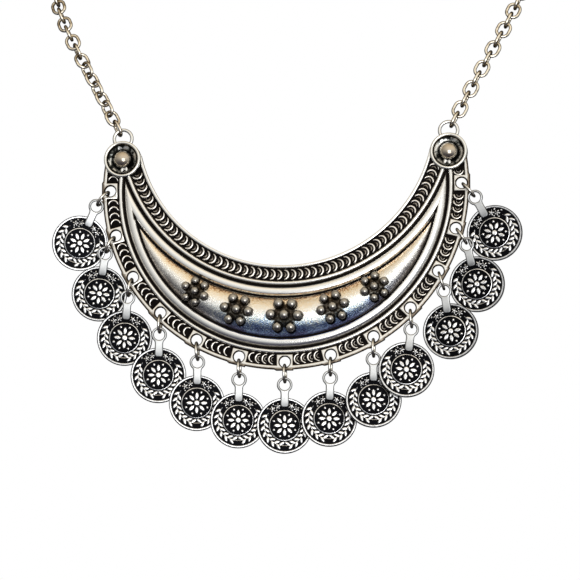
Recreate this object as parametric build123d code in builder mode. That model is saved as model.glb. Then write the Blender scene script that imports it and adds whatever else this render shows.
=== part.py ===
"""Statement necklace: a crescent bib with thirteen coin charms on two cable chains.

Millimetres. The necklace hangs as it does on a neck: +Z is up, +X is the right of the picture, and
the bib faces -Y. The origin is where the clasp bears on the nape.
"""

from collections import namedtuple
from math import acos, atan2, ceil, cos, degrees, isclose, radians, sin, sqrt, tan
import os

from build123d import *

# Where the bib hangs, from the nape to the centre of its outer arc
bib_drop = 96.0
bib_forward = 104.0

# Outline of the bib: the radius of its outer arc, its width at the middle and across a horn
outer_edge_r = 56.7
bib_width = 32.3
horn_width = 11.45

# Thickness of the bib: its border band, and the body behind the dome
border_thickness = 1.1
body_depth = 1.3
edge_bevel = 0.35
field_recess = 0.5

# Square pads with a hole for a jump ring: the end ones lie this turn below the bosses
pad_count = 13
end_pad_turn = 11.0
hole_inset = 2.4
hole_r = 1.6
hole_chamfer = 0.3
pad_along = 5.2
pad_inner = 2.4
pad_outer = 2.7

# Plain rims outside the two rows of scales, and the width of each row
outer_rim = 1.4
inner_rim = 0.9
outer_row = 3.4
inner_row = 3.6

# Rounded ridges: distance from the bib's edges, width and height
thin_ridge_inset = 5.6
thin_ridge_w = 1.0
thin_ridge_h = 0.9
broad_ridge_inset = 8.3
broad_ridge_w = 2.4
broad_ridge_h = 1.4
ridge_shoulder = 0.45
ridge_lap = 0.05
root_depth = 0.4

# The long lens-shaped dome
dome_inset = 10.1
dome_height = 4.0
dome_fullness = 0.75
dome_stations = 9
dome_end_share = 0.965

# Scales: open crescents with a small core
scale_r = 1.45
scale_line = 0.5
scale_height = 0.4
scale_root = 0.2
scale_core_r = 0.5
scale_core_back = 0.3
inner_scale_pitch = 2.1
outer_scale_pitch = 2.05
scales_in_bay = 4

# Granule clusters on the dome: where along it, ball size, and the ring of balls
Cluster = namedtuple("Cluster", "share ball_r ring_r turn")
clusters = [
    Cluster(-0.508, 1.25, 3.3, 90),
    Cluster(-0.256, 1.4, 3.7, 48),
    Cluster(0.006, 1.55, 4.1, 57),
    Cluster(0.27, 1.4, 3.7, 77),
    Cluster(0.518, 1.28, 3.35, 88),
]
balls_around = 6
ball_sunk = 0.3

# Round bosses at the two ends, each a cup with a ball, and the loop above it
boss_turn = 101.0
boss_inset = 5.25
boss_r = 5.75
boss_height = 1.9
boss_bevel = 0.3
cup_r = 4.95
cup_floor_r = 3.4
cup_floor = 0.3
boss_ball_r = 2.75
boss_ball_height = 0.85
boss_ball_cut = -30.0
loop_rise = 6.7
loop_r = 2.78
loop_wire_r = 0.52

# Coin charms: the coin, and the flat bail soldered to its face
coin_r = 8.5
coin_thickness = 1.0
coin_rim = 0.55
coin_relief = 0.3
coin_drop = 12.4
bail_r = 2.375
bail_hole_r = 1.6
bail_thickness = 0.9
bail_chamfer = 0.15
shoulder_x = 2.05
shoulder_y = 1.2
neck_w = 2.5
neck_y = 3.0
tongue_w = 2.7
tongue_overlap = 3.0
tongue_point = 0.8
tongue_tip_w = 1.2

# Relief on the coin: a line, a rosette, and on each side a spray of leaves and a few dots
line_r = 4.7
line_w = 0.26
petal_count = 8
petal_centre_r = 2.1
petal_length = 2.0
petal_w = 0.9
rosette_ball_r = 0.75
leaf_count = 5
leaf_circle_r = 6.3
leaf_length = 2.2
leaf_w = 0.95
leaf_start = 10.0
leaf_span = 80.0
leaf_lean = 32.0
dot_count = 3
dot_r = 0.4
dot_start = 24.0
dot_span = 36.0

# Jump rings
ring_inner_r = 2.2
ring_wire_r = 0.42
ring_gap = 0.12
bail_gap = 0.22

# How each charm hangs, in degrees: where its jump ring points and how far it swings forward,
# where the coin points, how far its left edge turns forward and its top tips forward
Hang = namedtuple("Hang", "ring_lean ring_swing coin_lean turn tip")
hangs = [
    Hang(-41.1, 17.5, -23.8, 14.8, 2.4),
    Hang(-29.7, 15.3, -8.2, 7.8, 2.5),
    Hang(-12.9, 13.9, -4.1, 6.4, 2.9),
    Hang(-1.8, 9.4, -0.8, 7.7, 1.8),
    Hang(3.5, 6.8, -0.6, 7.3, 2.1),
    Hang(1.0, 5.1, -1.1, 7.6, 1.0),
    Hang(0.0, 4.6, 0.0, 7.8, -0.3),
    Hang(-1.0, 5.6, -1.5, 7.3, -1.3),
    Hang(0.0, 8.4, 0.0, 6.7, -2.5),
    Hang(4.1, 12.8, -7.2, 5.0, -3.8),
    Hang(16.6, 14.0, 7.9, -6.5, 1.3),
    Hang(33.8, 17.4, 13.0, -8.0, 1.9),
    Hang(42.0, 17.2, 27.2, -7.3, 1.0),
]

# Cable chain: each link is an oval of round wire
link_length = 5.9
link_width = 4.75
link_wire_r = 0.5
link_gap = 0.15
loop_gap = 0.25

# Twist of the first links of the left chain, in degrees
left_twists = [20, 35, 45, 45, 45, 45, 45, 30, 15]

# Barrel clasp behind the neck, with an eye at each end
clasp_r = 2.6
clasp_length = 10.0
clasp_chamfer = 0.5
eye_r = 2.2
eye_wire_r = 0.45
eye_sunk = 0.5

# Route of the right chain between its loop and the clasp; the left one mirrors it
chain_route = [
    (60.7, -102.0, -60.0),
    (71.4, -97.0, -38.5),
    (77.5, -84.0, -18.0),
    (76.5, -61.0, -3.0),
    (67.0, -38.0, 3.5),
    (50.0, -18.5, 4.0),
    (28.0, -3.5, 1.8),
]

# Levels that follow from the sizes above
half_border = border_thickness / 2
field_level = half_border - field_recess

# Bosses, loops and the pads between them
boss_x = (outer_edge_r - boss_inset) * sin(radians(boss_turn))
boss_z = -(outer_edge_r - boss_inset) * cos(radians(boss_turn))
boss_places = [(-boss_x, boss_z), (boss_x, boss_z)]
loop_places = [(-boss_x, boss_z + loop_rise), (boss_x, boss_z + loop_rise)]
pad_span = 2 * (boss_turn - end_pad_turn)
pad_step = pad_span / (pad_count - 1)
down = -90.0
first_pad = down - pad_span / 2
hole_circle_r = outer_edge_r - hole_inset

# The inner arc, struck from a higher centre through the bib's middle and its horns
inner_bottom = bib_width - outer_edge_r
horn_inner_x = sqrt(outer_edge_r**2 - boss_z**2) - horn_width
arc_shift = (inner_bottom**2 - horn_inner_x**2 - boss_z**2) / 2 / (inner_bottom - boss_z)
inner_edge_r = arc_shift - inner_bottom

# Radii of the rows, ridges and dome: outer ones from the lower centre, inner from the higher
outer_thin_r = outer_edge_r - thin_ridge_inset
inner_thin_r = inner_edge_r + thin_ridge_inset
outer_broad_r = outer_edge_r - broad_ridge_inset
inner_broad_r = inner_edge_r + broad_ridge_inset
dome_lower_r = outer_edge_r - dome_inset
dome_upper_r = inner_edge_r + dome_inset
outer_row_r = outer_edge_r - outer_rim - outer_row / 2
inner_row_r = inner_edge_r + inner_rim + inner_row / 2
bib_face = Plane(origin=(0, -bib_forward, -bib_drop), x_dir=(1, 0, 0), z_dir=(0, -1, 0))


def lens(lower_r, upper_r, top):
    """A crescent between an arc of the outer centre and one of the inner centre, cut level."""
    with BuildSketch() as crescent:
        Circle(lower_r)
        with Locations((0, arc_shift)):
            Circle(upper_r, mode=Mode.SUBTRACT)
        with Locations((0, top)):
            Rectangle(4 * lower_r, 4 * lower_r, align=(Align.CENTER, Align.MIN), mode=Mode.SUBTRACT)
    return crescent.sketch


def circles(builder, radius):
    """Every circular edge of a builder's part that has this radius."""
    return builder.edges().filter_by(GeomType.CIRCLE).filter_by(lambda e: isclose(e.radius, radius))


def ring_reach(swing):
    """How far a ring's centre hangs from its hole when it clears the hole's near edge by its gap."""
    reaches = []
    for out, back in (
        (hole_r, half_border - hole_chamfer),
        (hole_r, hole_chamfer - half_border),
        (hole_r + hole_chamfer, half_border),
        (hole_r + hole_chamfer, -half_border),
    ):
        along = out * cos(swing) - back * sin(swing)
        across = out * sin(swing) + back * cos(swing)
        reaches.append(along + sqrt((ring_inner_r - ring_gap) ** 2 - across**2))
    return min(reaches)


def meeting_angles(lower_r, upper_r):
    """Angles from straight down at which two such arcs meet, as seen from each centre."""
    z = (lower_r**2 - upper_r**2 + arc_shift**2) / (2 * arc_shift)
    x = sqrt(lower_r**2 - z**2)
    return degrees(atan2(x, -z)), degrees(atan2(x, arc_shift - z))


def ridge(centre_z, radius, width, height, half_angle):
    """The rounded section of a ridge at its left end, and the axis it turns about."""
    centre = bib_face.location * Pos(0, centre_z, 0)
    section = Plane(centre * Rot(0, 0, down - half_angle) * Rot(90, 0, 0))
    inside = radius - width / 2
    outside = radius + width / 2
    shoulder = field_level + ridge_shoulder * height
    root = field_level - root_depth
    with BuildSketch(section) as profile:
        with BuildLine():
            Polyline((inside, shoulder), (inside, root), (outside, root), (outside, shoulder))
            ThreePointArc((outside, shoulder), (radius, field_level + height), (inside, shoulder))
        make_face()
    return profile.sketch, Axis(centre.position, bib_face.z_dir)


def scale(convex_side):
    """An open crescent with a small core, its round back towards plus or minus y."""
    with BuildSketch() as crescent:
        Circle(scale_r)
        with Locations((0, -convex_side * scale_line)):
            Circle(scale_r - scale_line / 4, mode=Mode.SUBTRACT)
        with Locations((0, -convex_side * scale_core_back)):
            Circle(scale_core_r)
    return crescent.sketch


# The dome runs between two arcs; a share of 0 is its middle and 1 its right tip
dome_lower_half, dome_upper_half = meeting_angles(dome_lower_r, dome_upper_r)


def dome_chord(share):
    """Middle, direction and length of the dome's width at a share of its length."""
    lower_angle = radians(share * dome_lower_half)
    upper_angle = radians(share * dome_upper_half)
    lower = Vector(dome_lower_r * sin(lower_angle), -dome_lower_r * cos(lower_angle))
    upper = Vector(dome_upper_r * sin(upper_angle), arc_shift - dome_upper_r * cos(upper_angle))
    return (lower + upper) / 2, (lower - upper).normalized(), (lower - upper).length


dome_full_width = dome_chord(0)[2]


def dome_rise(width):
    """Height of the dome's middle where it has a width."""
    return dome_height * (width / dome_full_width) ** dome_fullness


def dome_surface(point):
    """Height of the dome over a point of the bib's face."""
    lower_share = degrees(atan2(point.X, -point.Y)) / dome_lower_half
    upper_share = degrees(atan2(point.X, arc_shift - point.Y)) / dome_upper_half
    middle, across, width = dome_chord((lower_share + upper_share) / 2)
    rise = dome_rise(width)
    arc_r = (width**2 / 4 + rise**2) / (2 * rise)
    offset = min(abs((point - middle).dot(across)), width / 2)
    return rise - arc_r + sqrt(arc_r**2 - offset**2)


# The bib is one casting
with BuildPart() as crescent_plate:
    # Border band, bevelled round the outside
    with BuildSketch(bib_face.offset(-half_border)):
        add(lens(outer_edge_r, inner_edge_r, boss_z))
    extrude(amount=border_thickness)
    chamfer(circles(crescent_plate, outer_edge_r), edge_bevel)
    # Field inside the two rims, cut down to its floor
    with BuildSketch(bib_face.offset(half_border)):
        add(lens(outer_edge_r - outer_rim, inner_edge_r + inner_rim, boss_z + boss_r))
    extrude(amount=-field_recess, mode=Mode.SUBTRACT)
    # Thicker body behind the dome
    with BuildSketch(bib_face.offset(-body_depth)):
        add(lens(outer_thin_r, inner_edge_r, boss_z))
    extrude(amount=body_depth)
    # Pads for the jump rings
    with BuildSketch(bib_face.offset(-half_border)):
        with PolarLocations(hole_circle_r, pad_count, first_pad, pad_span, endpoint=True):
            with Locations(((pad_outer - pad_inner) / 2, 0)):
                Rectangle(pad_inner + pad_outer, pad_along)
    extrude(amount=border_thickness)
    # Thin ridges
    thin_outer_half = degrees(atan2(boss_x, -boss_z))
    thin_inner_half = degrees(atan2(boss_x, arc_shift - boss_z))
    for centre_z, radius, half_angle in (
        (0, outer_thin_r, thin_outer_half),
        (arc_shift, inner_thin_r, thin_inner_half),
    ):
        profile, axis = ridge(centre_z, radius, thin_ridge_w, thin_ridge_h, half_angle)
        revolve(profile, axis=axis, revolution_arc=2 * half_angle)
    # Broad ridges, which run together into one band up to a point at each horn
    band_lower_r = outer_broad_r + broad_ridge_w / 2
    band_upper_r = inner_broad_r - broad_ridge_w / 2
    band_lower_half, band_upper_half = meeting_angles(band_lower_r, band_upper_r)
    profile, axis = ridge(0, outer_broad_r, broad_ridge_w, broad_ridge_h, band_lower_half)
    lower_band = revolve(profile, axis=axis, revolution_arc=2 * band_lower_half, mode=Mode.PRIVATE)
    inside = Cylinder(band_upper_r + ridge_lap, body_depth + dome_height, mode=Mode.PRIVATE)
    add(lower_band - bib_face.location * Pos(0, arc_shift, 0) * inside)
    profile, axis = ridge(arc_shift, inner_broad_r, broad_ridge_w, broad_ridge_h, band_upper_half)
    upper_band = revolve(profile, axis=axis, revolution_arc=2 * band_upper_half, mode=Mode.PRIVATE)
    outside = Cylinder(band_lower_r - ridge_lap, body_depth + dome_height, mode=Mode.PRIVATE)
    add(upper_band & bib_face.location * outside)
    # Dome, lofted through arcs
    for station in range(dome_stations):
        middle, across, width = dome_chord(dome_end_share * (2 * station / (dome_stations - 1) - 1))
        turned = degrees(atan2(across.Y, across.X))
        centre = bib_face.location * Pos(middle.X, middle.Y, field_level)
        with BuildSketch(Plane(centre * Rot(0, 0, turned) * Rot(90, 0, 0))):
            with BuildLine():
                Polyline((-width / 2, 0), (-width / 2, -root_depth), (width / 2, -root_depth), (width / 2, 0))
                ThreePointArc((width / 2, 0), (0, dome_rise(width)), (-width / 2, 0))
            make_face()
    loft()
    # Scales: the inner row runs to the right, the outer rows between the pads to the left
    inner_row_half = thin_inner_half - degrees(atan2(boss_r, inner_row_r))
    inner_scales = int(radians(2 * inner_row_half) * inner_row_r / inner_scale_pitch)
    inner_span = 2 * inner_row_half
    bay_span = (scales_in_bay - 1) * degrees(outer_scale_pitch / outer_row_r)
    first_bay = first_pad + (pad_step - bay_span) / 2
    end_turn = degrees((pad_along + outer_scale_pitch) / 2 / outer_row_r)
    with BuildSketch(bib_face.offset(field_level - scale_root)):
        with Locations((0, arc_shift)):
            with PolarLocations(inner_row_r, inner_scales, down - inner_row_half, inner_span, endpoint=True):
                add(scale(1))
        for bay in range(pad_count - 1):
            start = first_bay + bay * pad_step
            with PolarLocations(outer_row_r, scales_in_bay, start, bay_span, endpoint=True):
                add(scale(-1))
        with PolarLocations(outer_row_r, 2, first_pad - end_turn, pad_span + 2 * end_turn, endpoint=True):
            add(scale(-1))
    extrude(amount=scale_root + scale_height)
    # Granules sit a little way into the dome
    for cluster in clusters:
        middle = dome_chord(cluster.share)[0]
        balls = [middle]
        for ball in range(balls_around):
            around = radians(cluster.turn + ball * 360 / balls_around)
            balls.append(middle + Vector(cos(around), sin(around)) * cluster.ring_r)
        seat = field_level + cluster.ball_r - ball_sunk
        with Locations(*[bib_face.location * Pos(b.X, b.Y, seat + dome_surface(b)) for b in balls]):
            Sphere(cluster.ball_r)
    # Bosses with their cups and balls
    with BuildSketch(bib_face.offset(-body_depth)):
        with Locations(*boss_places):
            Circle(boss_r)
    extrude(amount=body_depth + boss_height)
    chamfer(circles(crescent_plate, boss_r).filter_by(lambda e: e.is_closed), boss_bevel)
    with Locations(*[bib_face.location * Pos(x, z, cup_floor) for x, z in boss_places]):
        Cone(
            cup_floor_r,
            cup_r,
            boss_height - cup_floor,
            align=(Align.CENTER, Align.CENTER, Align.MIN),
            mode=Mode.SUBTRACT,
        )
    with Locations(*[bib_face.location * Pos(x, z, boss_ball_height) for x, z in boss_places]):
        Sphere(boss_ball_r, arc_size1=boss_ball_cut)
    # Holes in the pads, eased on both faces
    with BuildSketch(bib_face.offset(-body_depth)):
        with PolarLocations(hole_circle_r, pad_count, first_pad, pad_span, endpoint=True):
            Circle(hole_r)
    extrude(amount=2 * body_depth, mode=Mode.SUBTRACT)
    chamfer(circles(crescent_plate, hole_r).filter_by(lambda e: e.is_closed), hole_chamfer)
    # Loops for the chains
    with Locations(*[bib_face.location * Pos(x, z, 0) for x, z in loop_places]):
        Torus(loop_r, loop_wire_r)

crescent_plate.part.label = "crescent_plate"

# One coin charm lies face up with the middle of its bail's hole at the origin
coin_face = -bail_thickness / 2
coin_top = coin_r - coin_drop
with BuildPart() as charm_blank:
    with BuildSketch(Plane.XY.offset(coin_face)):
        with Locations((0, -coin_drop)):
            Circle(coin_r)
    extrude(amount=-coin_thickness)
    # Relief of one height: rim, line, rosette, leaves and dots
    with BuildSketch(Plane.XY.offset(coin_face)):
        with Locations((0, -coin_drop)):
            Circle(coin_r)
            Circle(coin_r - coin_rim, mode=Mode.SUBTRACT)
            Circle(line_r)
            Circle(line_r - line_w, mode=Mode.SUBTRACT)
            Circle(rosette_ball_r)
            with PolarLocations(petal_centre_r, petal_count):
                Ellipse(petal_length / 2, petal_w / 2)
            for side in (-1, 1):
                first = down + side * leaf_start
                with PolarLocations(leaf_circle_r, leaf_count, first, side * leaf_span, endpoint=True):
                    with Locations(Rot(0, 0, side * (90 - leaf_lean))):
                        Ellipse(leaf_length / 2, leaf_w / 2)
                first = -down + side * dot_start
                with PolarLocations(leaf_circle_r, dot_count, first, side * dot_span, endpoint=True):
                    Circle(dot_r)
    extrude(amount=coin_relief)
    # Bail: a ring, a waist and a blunt tongue over the coin
    with BuildSketch(Plane.XY.offset(-bail_thickness / 2)):
        Circle(bail_r)
        with BuildLine():
            Polyline(
                (-shoulder_x, -shoulder_y),
                (-neck_w / 2, -neck_y),
                (-tongue_w / 2, coin_top - tongue_overlap + tongue_point),
                (-tongue_tip_w / 2, coin_top - tongue_overlap),
                (tongue_tip_w / 2, coin_top - tongue_overlap),
                (tongue_w / 2, coin_top - tongue_overlap + tongue_point),
                (neck_w / 2, -neck_y),
                (shoulder_x, -shoulder_y),
                close=True,
            )
        make_face()
        Circle(bail_hole_r, mode=Mode.SUBTRACT)
    extrude(amount=bail_thickness)
    chamfer(circles(charm_blank, bail_hole_r), bail_chamfer)

jump_rings = []
coin_charms = []
for number, hang in enumerate(hangs):
    # The ring lies in the plane that points away from the pad, and swings forward in it
    hole = bib_face.location * Rot(0, 0, first_pad + number * pad_step) * Pos(hole_circle_r, 0, 0)
    lean = radians(hang.ring_lean)
    swing = radians(hang.ring_swing)
    reach = ring_reach(swing)
    hanging = Vector(sin(lean), 0, -cos(lean)) * cos(swing) + Vector(0, -1, 0) * sin(swing)
    ring_place = Plane(hole.position + hanging * reach, x_dir=hanging, z_dir=(cos(lean), 0, sin(lean)))
    with BuildPart(ring_place) as jump_ring:
        Torus(ring_inner_r + ring_wire_r, ring_wire_r)
    # The bail hangs on the bottom of the ring
    turned = bib_face.location * Rot(0, 0, hang.coin_lean) * Rot(0, hang.turn, 0) * Rot(hang.tip, 0, 0)
    facing = Plane(Location((0, 0, 0), turned.orientation))
    ring_bottom = ring_place.origin + hanging * (ring_inner_r + ring_wire_r)
    wire = ring_place.y_dir
    tilt = atan2(abs(wire.dot(facing.y_dir)), abs(wire.dot(facing.z_dir)))
    wire_room = ring_wire_r / cos(tilt) + bail_thickness / 2 * tan(tilt)
    bail_place = ring_bottom - facing.y_dir * (bail_hole_r - wire_room - bail_gap)
    with BuildPart() as coin_charm:
        with Locations(Location(bail_place, turned.orientation)):
            add(charm_blank.part)
    jump_ring.part.label = f"jump_ring_{number + 1:02d}"
    coin_charm.part.label = f"coin_charm_{number + 1:02d}"
    jump_rings.append(jump_ring.part)
    coin_charms.append(coin_charm.part)

# One link, its long way along x
with BuildPart() as link:
    with BuildLine() as centreline:
        bow_r = link_width / 2 - link_wire_r
        run = (link_length - link_width) / 2
        Line((-run, -bow_r), (run, -bow_r))
        ThreePointArc((run, -bow_r), (run + bow_r, 0), (run, bow_r))
        Line((run, bow_r), (-run, bow_r))
        ThreePointArc((-run, bow_r), (-run - bow_r, 0), (-run, -bow_r))
    with BuildSketch(Plane(origin=(0, -bow_r, 0), x_dir=(0, 1, 0), z_dir=(1, 0, 0))):
        Circle(link_wire_r)
    sweep(path=centreline.line)

link_half = link_length / 2 - link_wire_r
loose_pitch = link_length - 4 * link_wire_r - link_gap
eye_x = clasp_length / 2 + eye_r - eye_sunk


def link_places(side, twists):
    """Places of one chain's links from the bib to the clasp, each a quarter turn from the last."""
    loop_place = (bib_face.location * Pos(side * boss_x, boss_z + loop_rise, 0)).position
    eye_place = Vector(side * eye_x, clasp_r, 0)
    through = [Vector(side * x, y, z) for x, y, z in chain_route]
    ends = [through[0] - loop_place, Vector(-side, 0, 0)]
    route = Spline(loop_place, *through, eye_place, tangents=ends)
    first = loop_r - loop_wire_r - loop_gap - link_wire_r + link_half
    last = route.length - (eye_r - eye_wire_r - link_gap - link_wire_r + link_half)
    count = 2 * ceil(((last - first) / loose_pitch + 1) / 2)
    facing = bib_face.z_dir
    places = []
    for number in range(count):
        along = first + number * (last - first) / (count - 1)
        tangent = route.tangent_at(along, position_mode=PositionMode.LENGTH)
        facing = (facing - tangent * facing.dot(tangent)).normalized()
        middle = route.position_at(along, position_mode=PositionMode.LENGTH)
        twist = twists[number] if number < len(twists) else 0
        flat = facing.rotate(Axis((0, 0, 0), tangent), 90 * ((number + 1) % 2) + twist)
        places.append(Plane(middle, x_dir=tangent, z_dir=flat))
    print("links", count, "pitch", (last - first) / (count - 1), "route", route.length)
    return places


chains = []
for side, name, twists in ((-1, "chain_left", left_twists), (1, "chain_right", [])):
    places = link_places(side, twists)
    with BuildPart() as chain:
        with Locations(*places):
            add(link.part)
    chain.part.label = name
    chains.append((chain.part, places))

# Barrel clasp across the nape; each eye stands square to the last link
with BuildPart() as clasp:
    with BuildSketch(Plane.YZ.offset(-clasp_length / 2)):
        with Locations((clasp_r, 0)):
            Circle(clasp_r)
    extrude(amount=clasp_length)
    chamfer(circles(clasp, clasp_r), clasp_chamfer)
    for side, (_, places) in zip((-1, 1), chains):
        with Locations(Plane((side * eye_x, clasp_r, 0), x_dir=places[-1].z_dir, z_dir=places[-1].y_dir)):
            Torus(eye_r, eye_wire_r)
clasp.part.label = "clasp"

os.makedirs("parts", exist_ok=True)
for piece in (crescent_plate.part, *coin_charms, *jump_rings, *[part for part, _ in chains], clasp.part):
    export_step(piece, f"parts/{piece.label}.step")
    print(piece.label, len(piece.solids()), round(piece.volume, 1), piece.is_valid)
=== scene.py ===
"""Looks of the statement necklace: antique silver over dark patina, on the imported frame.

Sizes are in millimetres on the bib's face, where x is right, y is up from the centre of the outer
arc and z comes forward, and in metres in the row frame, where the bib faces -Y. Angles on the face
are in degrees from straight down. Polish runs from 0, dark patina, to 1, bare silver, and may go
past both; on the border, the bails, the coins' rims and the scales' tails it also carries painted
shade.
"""

from collections import namedtuple
from math import atan2, cos, degrees, radians, sin, sqrt

import bmesh
import bpy
import numpy as np
from mathutils import Matrix, Vector


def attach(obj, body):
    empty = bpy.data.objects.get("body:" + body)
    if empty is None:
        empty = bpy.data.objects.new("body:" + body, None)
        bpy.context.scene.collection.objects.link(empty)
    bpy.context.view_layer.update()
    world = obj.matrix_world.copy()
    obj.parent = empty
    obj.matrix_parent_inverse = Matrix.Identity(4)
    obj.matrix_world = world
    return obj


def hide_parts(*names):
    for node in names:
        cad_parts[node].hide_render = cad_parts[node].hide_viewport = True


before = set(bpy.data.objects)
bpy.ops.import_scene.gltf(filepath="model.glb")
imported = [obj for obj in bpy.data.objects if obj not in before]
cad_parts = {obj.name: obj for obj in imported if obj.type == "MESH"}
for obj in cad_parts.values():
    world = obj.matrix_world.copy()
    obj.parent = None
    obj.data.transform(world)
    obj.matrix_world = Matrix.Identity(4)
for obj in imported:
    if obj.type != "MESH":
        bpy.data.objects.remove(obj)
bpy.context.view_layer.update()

MM = 0.001
MERGE = 1e-7  # points nearer than this, in metres, become one

# Where the bib hangs, as in the part's source
BIB_DROP = 96.0
BIB_FORWARD = 104.0

# Arcs of the bib: the outer ones turn about y = 0, the inner ones about y = SHIFT
OUTER_EDGE = 56.7
BIB_WIDTH = 32.3
HORN_WIDTH = 11.45
BOSS_TURN = 101.0
BOSS_INSET = 5.25
BOSS_R = 5.75
BOSS_X = (OUTER_EDGE - BOSS_INSET) * sin(radians(BOSS_TURN))
BOSS_Y = -(OUTER_EDGE - BOSS_INSET) * cos(radians(BOSS_TURN))
INNER_BOTTOM = BIB_WIDTH - OUTER_EDGE
HORN_INNER_X = sqrt(OUTER_EDGE**2 - BOSS_Y**2) - HORN_WIDTH
SHIFT = (INNER_BOTTOM**2 - HORN_INNER_X**2 - BOSS_Y**2) / 2 / (INNER_BOTTOM - BOSS_Y)
INNER_EDGE = SHIFT - INNER_BOTTOM
OUTER_END = BOSS_TURN
INNER_END = degrees(atan2(BOSS_X, SHIFT - BOSS_Y))

# Levels and widths of the casting
HALF_BORDER = 0.55
FLOOR = 0.05
SUNK = FLOOR - 0.02
BACK = -1.3
OUTER_RIM = 1.4
INNER_RIM = 0.9
OUTER_ROW = 3.4
INNER_ROW = 3.6
THIN_INSET = 5.6
THIN_W = 1.1
THIN_H = 0.7
BROAD_INSET = 8.1
BROAD_W = 2.6
BROAD_H = 1.2
BAND = BROAD_INSET - BROAD_W / 2
GROOVE = BROAD_INSET + BROAD_W / 2
DOME_INSET = 10.1
DOME_HEIGHT = 4.0
DOME_FULLNESS = 0.75

# Plates: edges sharper than CREASE stay crisp, and what lies behind PLATE_BACK is plain back
CREASE = 40
PLATE_BACK = -0.3
BACK_POLISH = 0.68

# Pads
PADS = 13
PAD_STEP = 15.0
HOLE_INSET = 2.4
HOLE_R = 1.6
PAD_ALONG = 5.2
PAD_INNER = 2.4
PAD_OUTER = 2.7

# Scales, each of one or two bows: width at the back and at the tails, half the angle, height,
# polish, where the middle lies along the row, and how much painted shade dims the tail towards
# the arcs' centre
Bow = namedtuple("Bow", "radius width tail spread rise polish centre dim")
CRESCENT = [
    Bow(1.7, 0.7, 0.42, 88, 0.32, 1.2, -0.2, 0.42),
    Bow(0.84, 0.62, 0.2, 100, 0.25, 0.5, -0.25, 0.3),
]
SINGLE = [Bow(1.6, 0.62, 0.4, 92, 0.3, 1.3, -0.3, 0)]
DOUBLE = [
    Bow(1.6, 0.6, 0.38, 92, 0.3, 1.3, -0.3, 0),
    Bow(0.74, 0.3, 0.2, 100, 0.25, 0.6, -0.35, 0),
]
BOW_STEPS = 25
BOW_SIDE_STEPS = 7
INNER_PITCH = 2.1
OUTER_PITCH = 2.05
SCALES_IN_BAY = 4
DOUBLE_FROM = -10
SCALE_UNEVENNESS = 0.03

# Bosses and the loops for the chains
BOSS_STEPS = 96
BALL_R = 2.75
BALL_LEVEL = 0.85
LOOP_RISE = 6.7
LOOP_R = 2.78
LOOP_WIRE = 0.52
LOOP_STEPS = 64
WIRE_STEPS = 20

# Granules on the dome, in clusters by their share of its half length
Cluster = namedtuple("Cluster", "share ball_r ring_r turn")
CLUSTERS = [
    Cluster(-0.508, 1.25, 3.3, 90),
    Cluster(-0.256, 1.4, 3.7, 48),
    Cluster(0.006, 1.55, 4.1, 57),
    Cluster(0.27, 1.4, 3.7, 77),
    Cluster(0.518, 1.28, 3.35, 88),
]
BALL_SUNK = 0.3
GRANULE_SIZE = 0.985
GRANULE_UNEVENNESS = 0.012
GRANULE_AROUND = 28
GRANULE_RINGS = 18

# Coin charms, from the middle of the bail's hole
COIN_R = 8.5
COIN_DROP = 12.4
COIN_FACE = -0.45
COIN_BACK = -1.45
COIN_RIM = 0.75
COIN_AROUND = 224
FIELD_RINGS = 56
RIM_RINGS = 10
RELIEF = 0.3
BAIL_R = 2.375
BAIL_HOLE = 1.6
BAIL_HALF = 0.45

# Floor, light and camera, in metres, the camera's place as angles in degrees
FLOOR_LEVEL = -0.8
FLOOR_HALF = 3
WINDOW_WAY = (0.3, -0.93, -0.22)
WINDOW_DISTANCE = 0.65
WINDOW_SIZE = (0.36, 0.4)
WINDOW_RADIANCE = 3.6
MIDDLE = Vector((0.00158, -0.104, -0.12809))
AZIMUTH = 6.74
ELEVATION = -10.0
LENS = 200.0
SENSOR = 36.0
VIEW_WIDTH = 0.17717


# ---- Meshes ----


def to_row(points):
    """Points on the bib's face in millimetres to the row frame in metres."""
    p = np.asarray(points, float)
    return np.column_stack([p[:, 0], -BIB_FORWARD - p[:, 2], p[:, 1] - BIB_DROP]) * MM


def new_object(name, verts, faces, materials, values=None, sharp=None, slots=None):
    """A smooth mesh object with float attributes on its vertices, its doubles merged.

    With an angle given as sharp, edges that turn by more stay crisp, and so do the edges at which
    the points came apart.
    """
    mesh = bpy.data.meshes.new(name)
    mesh.from_pydata([tuple(v) for v in verts], [], [tuple(f) for f in faces])
    for material in materials:
        mesh.materials.append(material)
    for key, data in (values or {}).items():
        layer = mesh.attributes.new(key, "FLOAT", "POINT")
        layer.data.foreach_set("value", np.asarray(data, np.float32))
    if slots is not None:
        mesh.polygons.foreach_set("material_index", np.asarray(slots, np.int32))
    mesh.shade_smooth()
    work = bmesh.new()
    work.from_mesh(mesh)
    for edge in work.edges if sharp else ():
        edge.smooth = not edge.is_boundary
    bmesh.ops.remove_doubles(work, verts=work.verts, dist=MERGE)
    for edge in work.edges if sharp else ():
        edge.smooth = edge.smooth and edge.calc_face_angle(0.0) <= radians(sharp)
    work.to_mesh(mesh)
    work.free()
    obj = bpy.data.objects.new(name, mesh)
    bpy.context.scene.collection.objects.link(obj)
    return obj


def piece(obj, slot, *nodes):
    """Puts a piece on the body, in the place of its CAD nodes."""
    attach(obj, "root")
    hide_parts(*nodes)


def bib_piece(obj):
    """Makes an object a piece of the bib."""
    piece(obj, "antique_silver", "crescent_plate")


def grid(rows, cols, wrap=False, flip=False):
    """Faces of a grid of rows by cols points, its rows closed on themselves where wrap is true."""
    r = np.arange(rows - 1)[:, None]
    c = np.arange(cols if wrap else cols - 1)[None, :]
    d = (c + 1) % cols
    corners = [r * cols + c, r * cols + d, (r + 1) * cols + d, (r + 1) * cols + c]
    quads = np.stack(corners, -1).reshape(-1, 4)
    return quads[:, ::-1] if flip else quads


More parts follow.
